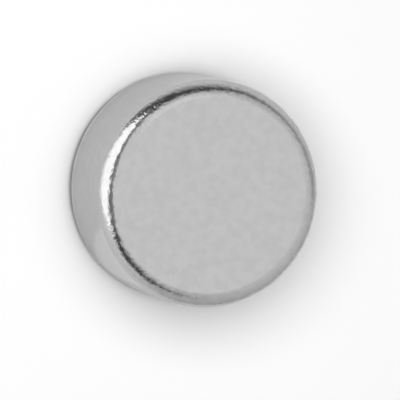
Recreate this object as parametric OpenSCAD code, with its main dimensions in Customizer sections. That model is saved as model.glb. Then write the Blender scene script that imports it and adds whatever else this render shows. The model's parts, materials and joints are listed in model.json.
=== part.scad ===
// Disc magnet: a short round bar of sintered magnet metal, ground flat on both faces, tumbled until its
// edges are round, and nickel plated all over.
// It lies on its lower face. The origin is the centre of that face and +Z is the disc's axis.

/* [Disc] */
// Outside diameter, across the straight wall
disc_diameter = 15; // [8:0.5:30]
// Thickness, from one flat face to the other
disc_thickness = 8; // [4:0.5:20]

/* [Edges] */
// Radius of the tumbled edge between the upper face and the wall
upper_edge_radius = 1.1; // [0.2:0.1:1.8]
// Radius of the tumbled edge between the lower face and the wall
lower_edge_radius = 1.1; // [0.2:0.1:1.8]

/* [Hidden] */
// Sides that a preview draws round each arc
$fn = 96;
// Outside radius of the wall
disc_radius = disc_diameter / 2;
// Height of the straight wall between the two rounded edges
wall_height = disc_thickness - upper_edge_radius - lower_edge_radius;

// The rounding of one edge: a round bar of the edge's radius, seen in section, that touches the wall
module edge_round(radius, centre_height) {
    translate([disc_radius - radius, centre_height])
        circle(r = radius);
}

// Half of the disc's section, from its axis out to the wall. The straight wall is the outer side of the
// tall rectangle, each flat face is the long side of a flat one, and a full circle rounds each corner.
module half_section() {
    translate([0, lower_edge_radius])
        square([disc_radius, wall_height]);
    square([disc_radius - lower_edge_radius, lower_edge_radius]);
    translate([0, disc_thickness - upper_edge_radius])
        square([disc_radius - upper_edge_radius, upper_edge_radius]);
    edge_round(lower_edge_radius, lower_edge_radius);
    edge_round(upper_edge_radius, disc_thickness - upper_edge_radius);
}

// The whole magnet: the half section turned once round the axis
module magnet_disc() {
    color("silver")
        rotate_extrude()
            half_section();
}

magnet_disc();
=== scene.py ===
# %% [markdown]
# # A disc magnet
#
# The real object is a short round bar of sintered magnet metal. Its faces are ground flat, it is tumbled
# with thousands of others until every edge is round, and then it is nickel plated. Nothing on it is
# separate, so the model is one piece. What makes it look real is its bright skin: a round edge that bends
# the whole studio into a thin band, and the fine grain of the metal underneath, which makes the borders
# in that band ragged.

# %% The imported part
import json
import math

import bpy
import numpy as np
from mathutils import Matrix, Vector


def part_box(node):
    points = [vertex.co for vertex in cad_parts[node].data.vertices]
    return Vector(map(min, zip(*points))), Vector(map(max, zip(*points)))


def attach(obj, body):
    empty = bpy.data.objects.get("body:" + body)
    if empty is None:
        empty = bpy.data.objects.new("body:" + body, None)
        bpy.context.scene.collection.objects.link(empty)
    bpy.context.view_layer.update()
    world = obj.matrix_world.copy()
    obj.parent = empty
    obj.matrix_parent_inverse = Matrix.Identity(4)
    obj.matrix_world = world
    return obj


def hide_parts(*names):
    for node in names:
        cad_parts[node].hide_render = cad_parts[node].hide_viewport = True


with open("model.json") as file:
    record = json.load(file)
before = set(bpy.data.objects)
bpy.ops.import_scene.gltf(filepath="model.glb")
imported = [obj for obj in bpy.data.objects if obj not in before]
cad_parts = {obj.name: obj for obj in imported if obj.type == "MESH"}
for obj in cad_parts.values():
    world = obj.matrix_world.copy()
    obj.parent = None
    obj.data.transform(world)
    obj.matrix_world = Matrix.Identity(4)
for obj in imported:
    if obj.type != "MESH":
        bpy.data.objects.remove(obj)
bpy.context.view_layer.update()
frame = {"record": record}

MM = 0.001

# %% [markdown]
# The part's own numbers come first. The box of the CAD node gives the height and the diameter, and the
# mount on the outer wall says how long the straight part of the wall is. What is left of the height,
# above and below, is the radius of each rounded edge.

# %% Measures
low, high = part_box("magnet_disc")
height = high.z - low.z
radius = min(high.x - low.x, high.y - low.y) / 2
mounts = {mount["name"]: mount for mount in frame["record"]["mounts"]}
wall_height = mounts["outer_wall"]["dims"]["length_mm"] * MM
edge_radius = (height - wall_height) / 2
print(f"disc {2e3 * radius:.2f} x {1e3 * height:.2f} mm, edges rounded to {1e3 * edge_radius:.2f} mm")

# %% [markdown]
# The camera looks down on the upper face from a little to the left, through a very long lens, so that the
# disc shows almost no perspective. It could be aimed by eye. Here its place is worked out from how far it
# leans off the disc's axis, from how much of the picture's width the disc takes, and from how far the
# disc's middle sits from the picture's middle, counted in diameters. These numbers came from a
# least-squares fit of the disc's outline and were then adjusted.

# %% Camera
LEAN = math.radians(18.69)          # between the line of sight and the disc's axis
LEAN_TURN = math.radians(16.4)      # how far the axis, as seen, dips below the picture's horizontal
DISCS_ACROSS = 1.7529               # picture width, in disc diameters
OFF_CENTRE = (-0.0278, 0.0460)      # middle of the disc, right and up of the picture's middle, in diameters
LENS = 1000.0                       # focal length in millimetres
SENSOR_WIDTH = 36.0                 # in millimetres


def aimed_camera(middle, diameter):
    """A camera whose picture's right and up directions are the lean plane's own two directions turned by
    LEAN_TURN: the first points along the disc's axis as seen, the second lies flat across it."""
    away = math.pi - LEAN_TURN
    toward = Vector((math.cos(away) * math.sin(LEAN), math.sin(away) * math.sin(LEAN), math.cos(LEAN)))
    along = (Vector((0, 0, 1)) - toward * toward.z).normalized()
    across = toward.cross(along)
    right = along * math.cos(LEAN_TURN) + across * math.sin(LEAN_TURN)
    up = across * math.cos(LEAN_TURN) - along * math.sin(LEAN_TURN)
    data = bpy.data.cameras.new("camera")
    data.lens = LENS
    data.sensor_width = SENSOR_WIDTH
    picture_width = DISCS_ACROSS * diameter
    distance = picture_width * data.lens / data.sensor_width
    aim = middle - diameter * (OFF_CENTRE[0] * right + OFF_CENTRE[1] * up)
    camera = bpy.data.objects.new("camera", data)
    axes = Matrix((right, up, toward)).transposed().to_4x4()
    camera.matrix_world = Matrix.Translation(aim + toward * distance) @ axes
    bpy.context.scene.collection.objects.link(camera)
    return camera


disc_middle = Vector((0, 0, low.z + height / 2))
bpy.context.scene.camera = aimed_camera(disc_middle, 2 * radius)
bpy.context.scene.view_settings.view_transform = "Standard"
print("camera at", [round(1e3 * c) for c in bpy.context.scene.camera.location], "mm")

# %% [markdown]
# A plated disc has no colour of its own to speak of: it shows the room. So the room is made before the
# metal. It could be a ready picture of a studio wrapped round the scene. Here it is worked out by nodes
# instead, because a few plain shapes say what is where, and each of them can be moved. The nodes need a
# handful of small helpers, which the table and the plating use again later: a sum, a soft step, a blend,
# and a place on the object.

# %% Helpers for nodes
def socket_in(tree, socket, value):
    """Joins value to socket if it is another node's output, and writes it there if it is a number."""
    if isinstance(value, bpy.types.NodeSocket):
        tree.links.new(value, socket)
    else:
        socket.default_value = value


def maths(tree, operation, *values):
    """The output of a Math node fed with values."""
    node = tree.nodes.new("ShaderNodeMath")
    node.operation = operation
    for socket, value in zip(node.inputs, values):
        socket_in(tree, socket, value)
    return node.outputs[0]


def ramp(tree, value, start, end, first=0.0, last=1.0):
    """first below start, last above end, and a smooth S between them."""
    node = tree.nodes.new("ShaderNodeMapRange")
    node.interpolation_type = "SMOOTHSTEP"
    for name, number in (("From Min", start), ("From Max", end), ("To Min", first), ("To Max", last)):
        node.inputs[name].default_value = number
    socket_in(tree, node.inputs["Value"], value)
    return node.outputs["Result"]


def blended(tree, share, first, second):
    """first where share is 0, second where it is 1."""
    node = tree.nodes.new("ShaderNodeMix")
    node.data_type = "FLOAT"
    for name, value in (("Factor", share), ("A", first), ("B", second)):
        socket_in(tree, node.inputs[name], value)
    return node.outputs["Result"]


def place_on_piece(tree):
    """Three outputs: the place itself, its distance from the disc's axis, which is the root of the sum of
    its squared first two coordinates, and its height above the table."""
    place = tree.nodes.new("ShaderNodeTexCoord").outputs["Object"]
    parts = tree.nodes.new("ShaderNodeSeparateXYZ")
    tree.links.new(place, parts.inputs[0])
    east, north, up = parts.outputs
    squares = maths(tree, "ADD", maths(tree, "MULTIPLY", east, east), maths(tree, "MULTIPLY", north, north))
    return place, maths(tree, "SQRT", squares), up


def grey(tree, value):
    """A colour whose red, green and blue are all value."""
    colour = tree.nodes.new("ShaderNodeCombineColor")
    for name in ("Red", "Green", "Blue"):
        socket_in(tree, colour.inputs[name], value)
    return colour.outputs[0]


print("helpers for nodes are ready")

# %% [markdown]
# The studio is like one that a maker of product pictures would set up for a small bright part: a white
# ceiling straight above, so that the flat face comes out as one even grey, a softbox on the left, which
# makes the bright streak along the rounded edge, and dark cards beside and above the softbox, which draw
# the black line round the face. The floor in front, the wall on the right and the ceiling behind are
# brighter than white, and the room behind is a pale grey. Each card is a flat board that hangs a little
# way off and has soft edges. The numbers started from a least-squares fit of the reflections, and were
# then rounded and changed.

# %% The studio's cards
ZENITH = 1.09                       # straight above, where 1 is white
CEILING = 0.81                      # the ceiling lower down, toward the walls
ROOM = 0.64                         # the darker room beyond the table
ROOM_TO_CEILING = (-30, 70)         # degrees above the horizon between which the room turns into the ceiling
OVERHEAD = (56, 69)                 # and between which the ceiling turns into the zenith
# Each card is flat and stands upright one unit away, in a direction given in degrees. Its edges are in
# units on the card: right and left as the disc sees it, bottom and top from the horizon. An edge that
# isn't named goes on for ever. soft is half the width over which an edge fades, lean tips a side edge
# over, and slope tips a level edge. A later card hangs in front of an earlier one.
CARDS = {
    "wall_on_right": dict(
        direction=-14, level=1.15, right=0.0, right_soft=1.4, right_lean=0.1, left=0.6, left_soft=0.45,
        left_lean=-0.1, bottom=0.30, bottom_soft=1.8, bottom_slope=1.15, top=2.15, top_soft=0.7),
    "room_behind": dict(
        direction=53, level=0.93, right=-1.6, right_soft=0.45, right_lean=-0.45, left=1.45,
        left_soft=0.2, left_lean=0.75, top=0.60, top_soft=0.45, top_slope=0.75),
    "floor_in_front": dict(
        direction=235, level=1.70, left=-0.55, left_soft=1.9, left_lean=-0.25, top=0.40, top_soft=0.40,
        top_slope=-1.0),
    "dark_wall_behind": dict(
        direction=83, level=0.10, right=-3.6, right_soft=0.8, right_lean=0.35, left=2.5, left_soft=0.55,
        left_lean=0.2, bottom=0.06, bottom_soft=0.50, bottom_slope=-0.40, top=1.18, top_soft=0.55,
        top_slope=0.30),
    "shadow_on_right": dict(
        direction=9, level=0.25, right=-0.30, right_soft=0.06, right_lean=0.1, left=0.34,
        left_soft=0.06, bottom=0.20, bottom_soft=0.60, bottom_slope=0.4, top=0.40, top_soft=0.30,
        top_slope=0.55),
    "bright_ceiling_behind": dict(
        direction=42, level=1.21, right=0.25, right_soft=0.2, right_lean=0.2, left=1.6, left_soft=0.6,
        left_lean=-0.2, bottom=1.8, bottom_soft=2.0, bottom_slope=1.4, top=6.15, top_soft=1.5,
        top_slope=-0.5),
    "gap_over_softbox": dict(
        direction=148, level=0.26, right=-0.62, right_soft=0.08, right_lean=0.2, left=3.4,
        left_soft=0.4, left_lean=-0.85, bottom=0.61, bottom_soft=0.26, bottom_slope=0.4, top=1.7,
        top_soft=1.3, top_slope=0.8),
    "dark_wall_in_front": dict(
        direction=234, level=0.01, right=-0.24, right_soft=0.23, right_lean=0.25, left=0.37,
        left_soft=0.5, left_lean=-0.5, bottom=0.30, bottom_soft=0.25, bottom_slope=0.45, top=0.93,
        top_soft=0.60, top_slope=0.45),
    "softbox": dict(
        direction=138, level=2.0, right=-0.11, right_soft=0.11, right_lean=0.35, left=2.0,
        left_soft=0.22, left_lean=-1.05, bottom=-0.23, bottom_soft=0.25, bottom_slope=-0.75, top=0.80,
        top_soft=0.14),
}
print("studio:", len(CARDS), "cards,", ", ".join(CARDS))

# %% [markdown]
# A card is a mask on directions. A direction that points toward the card meets the card's plane in one
# point, and two divisions find it. Four soft steps, one for each edge, then say whether the point is on
# the card. This is how a window in a wall could be drawn as well, and it costs no geometry and no noise
# in the render.

# %% One card
def card_mask(tree, east, north, upward, card):
    """1 inside the card and 0 outside. A direction meets the card's plane at its part across the card
    over its part toward the card, and at its rise over its part toward the card."""
    middle = math.radians(card["direction"])
    toward = maths(tree, "ADD", maths(tree, "MULTIPLY", east, math.cos(middle)),
                   maths(tree, "MULTIPLY", north, math.sin(middle)))
    aside = maths(tree, "SUBTRACT", maths(tree, "MULTIPLY", north, math.cos(middle)),
                  maths(tree, "MULTIPLY", east, math.sin(middle)))
    across = maths(tree, "DIVIDE", aside, toward)
    rise = maths(tree, "DIVIDE", upward, toward)
    mask = maths(tree, "GREATER_THAN", toward, 0.0)
    edges = (("right", across, rise, "lean", 1, 0.0, 1.0), ("left", across, rise, "lean", 1, 1.0, 0.0),
             ("bottom", rise, across, "slope", -1, 0.0, 1.0), ("top", rise, across, "slope", -1, 1.0, 0.0))
    for edge, along, other, tilt, sign, before, after in edges:
        if edge in card:
            tipped = sign * card.get(edge + "_" + tilt, 0.0)
            tilted = maths(tree, "ADD", along, maths(tree, "MULTIPLY", other, tipped))
            soft = card[edge + "_soft"]
            step = ramp(tree, tilted, card[edge] - soft, card[edge] + soft, before, after)
            mask = maths(tree, "MULTIPLY", mask, step)
    return mask


print("a card's edges:", "right, left, bottom and top")

# %% [markdown]
# The world holds the studio, but only the metal may see it. To the camera the background stays plain
# white, and the table takes all its light from the lamps of the next step, so that its shadow can be set
# by itself. A Light Path node tells these rays apart.

# %% The studio
def studio_world():
    """A world that is white for the camera. Rays that come by way of metal or glass see the room, the
    ceiling and the cards instead, and rays that come by way of the table see nothing, because the lamps
    alone light it."""
    world = bpy.data.worlds.new("studio")
    world.use_nodes = True
    tree = world.node_tree
    tree.nodes.clear()
    direction = tree.nodes.new("ShaderNodeTexCoord").outputs["Generated"]
    parts = tree.nodes.new("ShaderNodeSeparateXYZ")
    tree.links.new(direction, parts.inputs[0])
    east, north, upward = parts.outputs
    elevation = maths(tree, "ARCSINE", upward)
    level = ramp(tree, elevation, *np.radians(ROOM_TO_CEILING).tolist(), ROOM, CEILING)
    overhead = ramp(tree, elevation, *np.radians(OVERHEAD).tolist(), 0, ZENITH - CEILING)
    level = maths(tree, "ADD", level, overhead)
    for card in CARDS.values():
        level = blended(tree, card_mask(tree, east, north, upward, card), level, card["level"])
    path = tree.nodes.new("ShaderNodeLightPath")
    by_way_of_metal = maths(tree, "MAXIMUM", path.outputs["Is Glossy Ray"],
                            path.outputs["Is Transmission Ray"])
    by_way_of_table = maths(tree, "GREATER_THAN", path.outputs["Diffuse Depth"], 0.5)
    seen = blended(tree, by_way_of_metal, path.outputs["Is Camera Ray"], level)
    seen = blended(tree, by_way_of_table, seen, 0.0)
    background = tree.nodes.new("ShaderNodeBackground")
    background.inputs["Color"].default_value = (1, 1, 1, 1)
    tree.links.new(seen, background.inputs["Strength"])
    out = tree.nodes.new("ShaderNodeOutputWorld")
    tree.links.new(background.outputs[0], out.inputs["Surface"])
    world.cycles_visibility.diffuse = False
    return world


bpy.context.scene.world = studio_world()
print("studio world:", len(bpy.context.scene.world.node_tree.nodes), "nodes")

# %% [markdown]
# The table's light decides the shadow, and the shadow tells the eye that the disc stands on something.
# One small lamp almost straight above gives a thin dark line at the foot. Two broad softboxes, which lean
# to the left and away, give the wide soft shadow on the right, and a weak window on the right keeps that
# shadow from going black. A sun or a single area light could do it, but then the shadow is either hard or
# has one width. The metal doesn't see these lamps and the table doesn't see the cards, so the two don't
# share one light, as they would in a real studio. The lamps' numbers, too, started from a least-squares
# fit.

# %% Lamps
LAMP_DISTANCE = 300 * MM
# Each lamp: direction that it leans in and how far, and half the angle that it fills, in degrees; its
# share of the light on an open table, where 1 is white
LAMPS = {
    "small_lamp": (281, 1, 5, 0.155),
    "near_softbox": (154, 22, 24, 0.365),
    "high_softbox": (143, 12, 29, 0.475),
    "window_on_right": (335, 40, 15, 0.012),
}


def round_lamp(name, direction, lean, half_angle, share):
    """A round lamp that faces the disc. Light on the table is the lamp's level times the square of the
    sine of its half angle times the cosine of its lean, so the level is worked back from the share. Its
    power is its level times its area times pi, which is what an even face gives off."""
    direction, lean, half_angle = math.radians(direction), math.radians(lean), math.radians(half_angle)
    data = bpy.data.lights.new(name, "AREA")
    data.shape = "DISK"
    lamp_radius = LAMP_DISTANCE * math.tan(half_angle)
    data.size = 2 * lamp_radius
    level = share / (math.sin(half_angle) ** 2 * math.cos(lean))
    data.energy = level * math.pi * lamp_radius ** 2 * math.pi
    lamp = bpy.data.objects.new(name, data)
    out = Vector((math.cos(direction) * math.sin(lean), math.sin(direction) * math.sin(lean),
                  math.cos(lean)))
    side = Vector((-math.sin(direction), math.cos(direction), 0))
    axes = Matrix((side, out.cross(side), out)).transposed().to_4x4()
    lamp.matrix_world = Matrix.Translation(out * LAMP_DISTANCE) @ axes
    lamp.visible_camera = False
    lamp.visible_glossy = False
    # Only rays aimed at the lamp may carry its light. A stray ray from the table would pass through the
    # disc, which such rays don't see, and light the table under it.
    data.cycles.use_multiple_importance_sampling = False
    bpy.context.scene.collection.objects.link(lamp)
    return lamp


for name, values in LAMPS.items():
    round_lamp(name, *values)
print("light on an open table:", round(sum(values[3] for values in LAMPS.values()), 3), "of white")

# %% [markdown]
# The wall of the disc shows the table at its foot, and two patches of that reflection are wanted brighter
# than the table itself. Stronger lamps would burn the table out for the camera as well, so each patch is
# a faint lamp that lies on the table, faces up, and is seen by the metal alone.

# %% Glow on the table
GLOW_LIFT = 0.02 * MM               # height of a glow above the table
# Each glow: direction, start, end, width, level on top of the table's own brightness
GLOWS = {
    "far_glow": (172, 15.5 * MM, 25 * MM, 11 * MM, 0.55),
    "near_glow": (230, 7.75 * MM, 10.4 * MM, 9 * MM, 0.17),
}


def table_glow(name, direction, start, end, width, level):
    """A bright oval between two distances from the disc's axis. Its power is its level times its area
    times pi, and the area of an oval is a quarter of pi times its length times its width."""
    direction = math.radians(direction)
    data = bpy.data.lights.new(name, "AREA")
    data.shape = "ELLIPSE"
    data.size = width
    data.size_y = end - start
    data.energy = level * math.pi / 4 * data.size * data.size_y * math.pi
    glow = bpy.data.objects.new(name, data)
    middle = (start + end) / 2
    glow.location = (middle * math.cos(direction), middle * math.sin(direction), GLOW_LIFT)
    glow.rotation_euler = (math.pi, 0, direction - math.pi / 2)
    glow.visible_camera = False
    glow.visible_diffuse = False
    bpy.context.scene.collection.objects.link(glow)


for name, values in GLOWS.items():
    table_glow(name, *values)
print("glows on the table:", ", ".join(GLOWS))

# %% [markdown]
# The table is a round card of matt white. It could be an endless plane, but a card that ends just outside
# the picture lets the world's white run straight on from it, with no horizon, and lets the wall of the
# disc see the room beyond. The card is painted darker in a narrow ring under the disc's rounded foot.
# This stands for the deep shadow of the contact, which the lamps alone leave too pale.

# %% Table
TABLE_RADIUS = 23 * MM
TABLE_GAP = 0.005 * MM
TABLE_COLOUR = 0.98
TABLE_ROUGHNESS = 0.9
TABLE_CORNERS = 96
CONTACT_SHADE = 0.4                     # what the painted contact shadow under the foot keeps of the table's colour
CONTACT_SHADE_FADE = (0.40 * MM, 0.05 * MM)     # how far inside the outline the painted shadow starts and stops fading


def white_card():
    """Matt white with a painted contact shadow: it falls to a grey just inside the disc's outline."""
    material = bpy.data.materials.new("white_card")
    material.use_nodes = True
    tree = material.node_tree
    shader = tree.nodes["Principled BSDF"]
    out = place_on_piece(tree)[1]
    level = ramp(tree, out, radius - CONTACT_SHADE_FADE[0], radius - CONTACT_SHADE_FADE[1],
                 TABLE_COLOUR * CONTACT_SHADE, TABLE_COLOUR)
    tree.links.new(grey(tree, level), shader.inputs["Base Color"])
    shader.inputs["Roughness"].default_value = TABLE_ROUGHNESS
    shader.inputs["Specular IOR Level"].default_value = 0.0
    return material


def table():
    """A round card of TABLE_RADIUS, a hair below the disc so that no two surfaces share a plane."""
    turn = np.arange(TABLE_CORNERS) * 2 * math.pi / TABLE_CORNERS
    sink = np.full(TABLE_CORNERS, -TABLE_GAP)
    corners = np.stack([TABLE_RADIUS * np.cos(turn), TABLE_RADIUS * np.sin(turn), sink], axis=-1)
    mesh = bpy.data.meshes.new("table")
    mesh.from_pydata(corners.tolist(), [], [list(range(TABLE_CORNERS))])
    mesh.materials.append(white_card())
    floor = bpy.data.objects.new("table", mesh)
    bpy.context.scene.collection.objects.link(floor)
    return floor


floor = table()
print("table:", [round(1e3 * size) for size in floor.dimensions], "mm")

# %% [markdown]
# The disc is turned from one half section: out along the lower face, round the edge, up the wall, round
# the upper edge and back to the axis. A cylinder with a Bevel modifier would give the same outline. A
# grid of small even faces is made instead, because the next step pushes it about by hundredths of a
# millimetre.

# %% Half section
AROUND = 400                        # faces round the disc
GRID = 0.12 * MM                    # length of a face along the section


def outline(step):
    """The disc's half section from the middle of the lower face to the middle of the upper one, as
    distances from the axis, heights, and the angles by which the outward normals rise: a straight run, a
    quarter circle, the wall, a quarter circle and a straight run."""
    flat = radius - edge_radius
    along_flat = np.linspace(0, 1, int(round(flat / step)) + 1)
    turn = np.linspace(0, math.pi / 2, int(round(edge_radius * math.pi / 2 / step)) + 1)
    up_wall = np.linspace(0, 1, int(round(wall_height / step)) + 1)
    wall = np.full(len(up_wall) - 1, 1.0)
    face = np.full(len(along_flat) - 1, 1.0)
    out = np.concatenate([flat * along_flat, flat + edge_radius * np.sin(turn)[1:], radius * wall,
                          flat + edge_radius * np.cos(turn)[1:], flat * (1 - along_flat)[1:]])
    lift = np.concatenate([0 * along_flat, edge_radius * (1 - np.cos(turn))[1:],
                           edge_radius + wall_height * up_wall[1:],
                           height - edge_radius * (1 - np.sin(turn))[1:], height * face])
    rise = np.concatenate([-math.pi / 2 + 0 * along_flat, (turn - math.pi / 2)[1:], 0 * wall, turn[1:],
                           math.pi / 2 * face])
    return out, lift, rise


section = outline(GRID)
print("half section:", len(section[0]), "points")

# %% [markdown]
# No tumbled edge is a true quarter circle. It has long shallow dents and short ones, and in a mirror
# finish they show as ragged borders between light and dark. A sculpted mesh or a Displace modifier could
# carry them. Here they are a sum of waves, which is smooth, has a known size, and comes out the same in
# every run. How deep the real dents are isn't known, so the depths are set by how ragged the borders
# look. The ground faces and the wall keep less of it than the edges.

# %% Relief
RELIEF = ((3.0 * MM, 0.006 * MM, 24), (1.1 * MM, 0.0060 * MM, 40), (0.55 * MM, 0.0030 * MM, 60))
ON_FLATS = 0.3                      # share of the relief left on the faces and the wall


def waves(points, length, count, seed):
    """Smooth random relief, mostly between -1 and 1: the sum of plane waves of one length that run in
    random directions and start at random phases, divided by three roots of half their number."""
    random = np.random.default_rng(seed)
    runs = random.normal(size=(count, 3))
    runs *= 2 * math.pi / length / np.linalg.norm(runs, axis=1, keepdims=True)
    starts = random.uniform(0, 2 * math.pi, count)
    return np.cos(points @ runs.T + starts).sum(axis=1) / math.sqrt(count / 2) / 3


def tumbling(points, normals):
    """How deep the skin is dented at each point. On the edges, where a normal is neither level nor
    upright, the doubled product of its level and upright parts is near 1, and the dents have their full
    depth."""
    depth = np.zeros(len(points))
    for seed, (length, size, count) in enumerate(RELIEF):
        depth += size * (1 + waves(points, length, count, seed))
    on_edge = np.abs(normals[:, 2]) * np.hypot(normals[:, 0], normals[:, 1]) * 2
    depth *= ON_FLATS + (1 - ON_FLATS) * np.clip(on_edge * 2, 0, 1)
    return np.clip(depth, 0, None)


print("mean dent on the edges:", round(1e3 * sum(size for length, size, count in RELIEF), 3), "mm")

# %% [markdown]
# Now the section goes once round the axis. The relief only ever pushes inward, so the disc stays inside
# its measured size, as a worn part does. At each pole the grid ends in a fan of triangles that share one
# point, so the skin has no hole and no seam.

# %% The disc
def disc_mesh():
    """The section carried once round the axis: at a turn t, a point lies at its distance from the axis
    times the cosine and the sine of t, and at its own height. The relief then moves it back along its
    normal."""
    out, lift, rise = section
    turn = np.arange(AROUND) * 2 * math.pi / AROUND
    rows = len(out) - 2
    ring_out, ring_lift, ring_rise = out[1:-1, None], lift[1:-1, None], rise[1:-1, None]
    points = np.stack([ring_out * np.cos(turn), ring_out * np.sin(turn), ring_lift + 0 * turn], axis=-1)
    normals = np.stack([np.cos(ring_rise) * np.cos(turn), np.cos(ring_rise) * np.sin(turn),
                        np.sin(ring_rise) + 0 * turn], axis=-1)
    points = np.vstack([points.reshape(-1, 3), [[0, 0, 0]], [[0, 0, height]]])
    normals = np.vstack([normals.reshape(-1, 3), [[0, 0, -1]], [[0, 0, 1]]])
    points = points - normals * tumbling(points, normals)[:, None]
    points[:, 2] += low.z
    index = np.arange(rows * AROUND).reshape(rows, AROUND)
    right = np.roll(index, -1, axis=1)
    quads = np.stack([index[:-1], right[:-1], right[1:], index[1:]], axis=-1).reshape(-1, 4)
    bottom, top = rows * AROUND, rows * AROUND + 1
    lower_cap = np.stack([np.full(AROUND, bottom), right[0], index[0]], axis=-1)
    upper_cap = np.stack([np.full(AROUND, top), index[-1], right[-1]], axis=-1)
    mesh = bpy.data.meshes.new("plated_disc")
    mesh.from_pydata(points.tolist(), [], quads.tolist() + lower_cap.tolist() + upper_cap.tolist())
    mesh.polygons.foreach_set("use_smooth", np.ones(len(mesh.polygons), bool))
    mesh.update()
    return mesh


disc = bpy.data.objects.new("plated_disc", disc_mesh())
bpy.context.scene.collection.objects.link(disc)
print("disc:", len(disc.data.polygons), "faces,", [round(1e3 * size, 3) for size in disc.dimensions], "mm")

# %% [markdown]
# Nickel is a pale, slightly dull metal. Bright nickel on a tumbled part is no perfect mirror: it follows
# the grain of the sintered metal under it, most of all on the edges, and it has faint cloudy patches on
# the ground faces. A plain metal with one roughness would look like chrome. So the colour, the roughness
# and the bump each get a noise of their own, at sizes chosen by how they look. Low on the wall a thin
# broken line is painted lighter into the colour: a painted highlight that stands for the glint along the
# rounded foot. How bright the plating is and how bright the studio is can't be told apart from the
# reflection alone, so the plating's level is a choice.

# %% Nickel plating
NICKEL = 0.477                      # share of light that the plating gives back, face on; a choice
EDGE_TINT = 0.77                    # how much of its shine it keeps at a slant, before the last few degrees
MOTTLE = 0.016                      # how far the cloudy patches lighten and darken it
GLINT_LIGHTENING = 0.18                  # how much the painted glint line lightens the colour
ROUGHNESS = (0.07, 0.12)
GRAIN_HEIGHT = 0.02 * MM
PATCH_SIZE = 0.6 * MM               # of the noise that sets the colour
SHEEN_SIZE = 0.3 * MM               # of the noise that sets the roughness
MIDDLE_NOISE = (0.3, 0.7)           # the part of a noise's range that is stretched over the full range
FINE_GRAIN = (0.24 * MM, 0.2, 0.7)  # size, strength all over, strength added on the edges
COARSE_GRAIN = (0.40 * MM, 1.5)     # size, strength on the edges
FACE_FADE = (-0.05 * MM, 0.50 * MM) # past the face's end, where the edge's grain starts and is full
WALL_FADE = 0.2 * MM                # to either side of the wall's end, where that grain fades
LINE_LIFT = 0.10 * MM               # height of the painted glint line above the rounded foot
LINE_FADE = (0.05 * MM, 0.17 * MM)  # from the middle of the line, where it starts to fade and where it ends
# Size of the noise that breaks the line, the range taken from it, and what that is stretched to
LINE_GAPS = (1.2 * MM, 0.25, 0.6, 0.4, 1.1)


def noise(tree, place, size, detail):
    """Soft noise between 0 and 1, with patches about as wide as size."""
    node = tree.nodes.new("ShaderNodeTexNoise")
    node.inputs["Scale"].default_value = 1 / size
    node.inputs["Detail"].default_value = detail
    node.inputs["Roughness"].default_value = 0.5
    tree.links.new(place, node.inputs["Vector"])
    return node.outputs["Fac"]


def painted_glint_line(tree, place, up):
    """A painted highlight: a lighter line round the wall just above the rounded foot, broken up by noise."""
    from_line = maths(tree, "ABSOLUTE", maths(tree, "SUBTRACT", up, low.z + edge_radius + LINE_LIFT))
    line = ramp(tree, from_line, *LINE_FADE, GLINT_LIGHTENING, 0.0)
    size, *gaps = LINE_GAPS
    return maths(tree, "MULTIPLY", line, ramp(tree, noise(tree, place, size, 2), *gaps))


def grain(tree, place, on_edge):
    """The grain's bump: fine noise all over, stronger on the edges, and coarser noise on the edges alone.
    Each noise is counted from its middle, so that no step shows where it begins."""
    fine_size, all_over, more_on_edge = FINE_GRAIN
    coarse_size, only_on_edge = COARSE_GRAIN
    fine = maths(tree, "MULTIPLY", maths(tree, "SUBTRACT", noise(tree, place, fine_size, 2), 0.5),
                 maths(tree, "ADD", maths(tree, "MULTIPLY", on_edge, more_on_edge), all_over))
    coarse = maths(tree, "MULTIPLY", maths(tree, "SUBTRACT", noise(tree, place, coarse_size, 2), 0.5),
                   maths(tree, "MULTIPLY", on_edge, only_on_edge))
    bump = tree.nodes.new("ShaderNodeBump")
    bump.inputs["Strength"].default_value = 1.0
    bump.inputs["Distance"].default_value = GRAIN_HEIGHT
    tree.links.new(maths(tree, "ADD", fine, coarse), bump.inputs["Height"])
    return bump.outputs[0]


def nickel_plating():
    """Metal whose colour, roughness and normal each vary a little over the surface."""
    material = bpy.data.materials.new("nickel_plating")
    material.use_nodes = True
    tree = material.node_tree
    shader = tree.nodes["Principled BSDF"]
    shader.inputs["Metallic"].default_value = 1.0
    shader.inputs["Specular Tint"].default_value = (EDGE_TINT, EDGE_TINT, EDGE_TINT, 1)
    place, out, up = place_on_piece(tree)
    face_ends = radius - edge_radius
    past_face = ramp(tree, out, face_ends + FACE_FADE[0], face_ends + FACE_FADE[1])
    from_middle = maths(tree, "ABSOLUTE", maths(tree, "SUBTRACT", up, low.z + height / 2))
    off_wall = ramp(tree, from_middle, wall_height / 2 - WALL_FADE, wall_height / 2 + WALL_FADE)
    on_edge = maths(tree, "MULTIPLY", past_face, off_wall)
    patches = ramp(tree, noise(tree, place, PATCH_SIZE, 3), *MIDDLE_NOISE, NICKEL - MOTTLE, NICKEL + MOTTLE)
    # The glint along the foot is painted into the colour here, as a lighter line.
    glint_lightness = maths(tree, "MULTIPLY", painted_glint_line(tree, place, up), past_face)
    tree.links.new(grey(tree, maths(tree, "ADD", patches, glint_lightness)), shader.inputs["Base Color"])
    sheen = ramp(tree, noise(tree, place, SHEEN_SIZE, 3), *MIDDLE_NOISE, *ROUGHNESS)
    tree.links.new(sheen, shader.inputs["Roughness"])
    tree.links.new(grain(tree, place, on_edge), shader.inputs["Normal"])
    return material


disc.data.materials.append(nickel_plating())
print("nickel plating:", len(disc.data.materials[0].node_tree.nodes), "nodes")

# %% [markdown]
# Last, the disc is tied to the part: it rides on the part's one body and stands for the CAD solid. It is
# also hidden from the table's own rays, so that it throws no light back onto the table. A real metal wall
# would throw some, so this is a choice for the look, which leaves the shadow to the lamps.

# %% Tied to the part
disc.visible_diffuse = False
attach(disc, "root")
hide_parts("magnet_disc")
print("the disc rides on root and stands for magnet_disc")
